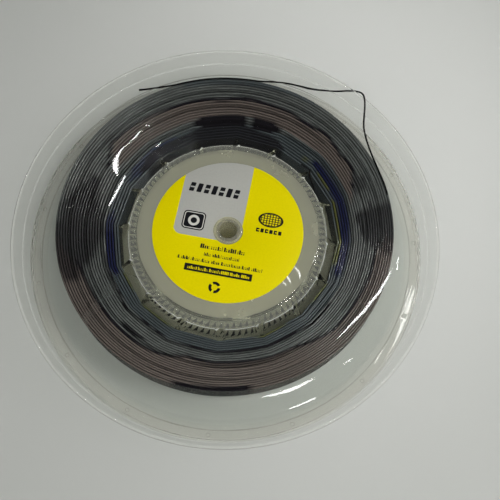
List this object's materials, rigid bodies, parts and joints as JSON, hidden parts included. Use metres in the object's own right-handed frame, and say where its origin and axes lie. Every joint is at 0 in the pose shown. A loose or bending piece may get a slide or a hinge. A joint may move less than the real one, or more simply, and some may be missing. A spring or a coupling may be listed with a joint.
{
  "type": "string reel",
  "caption": "Clear plastic reel of wound racket string, with two flanges on a ribbed drum, a centre label each side and a bore for a spindle.",
  "frame": {"origin": "on the spindle axis, at the plane of the back flange's foot ring, which the reel lies on", "axes": "+Z along the spindle axis, out of the front flange; +X and +Y across the flanges, with the slack of the winding towards +Y"},
  "size_m": [0.266, 0.266, 0.0328],
  "materials": {
    "clear_plastic": "clear, polished",
    "bush_plastic": "moulded, semi-gloss",
    "label_paper": "coated paper",
    "string": "smooth monofilament"
  },
  "bodies": {
    "root": {"front_flange": "clear_plastic", "back_flange": "clear_plastic", "hub_drum": "clear_plastic", "axle_bush": "bush_plastic", "front_label": "label_paper", "back_label": "label_paper", "string_pack": "string", "string_tail": "string", "string_start": "string"}
  },
  "joints": []
}
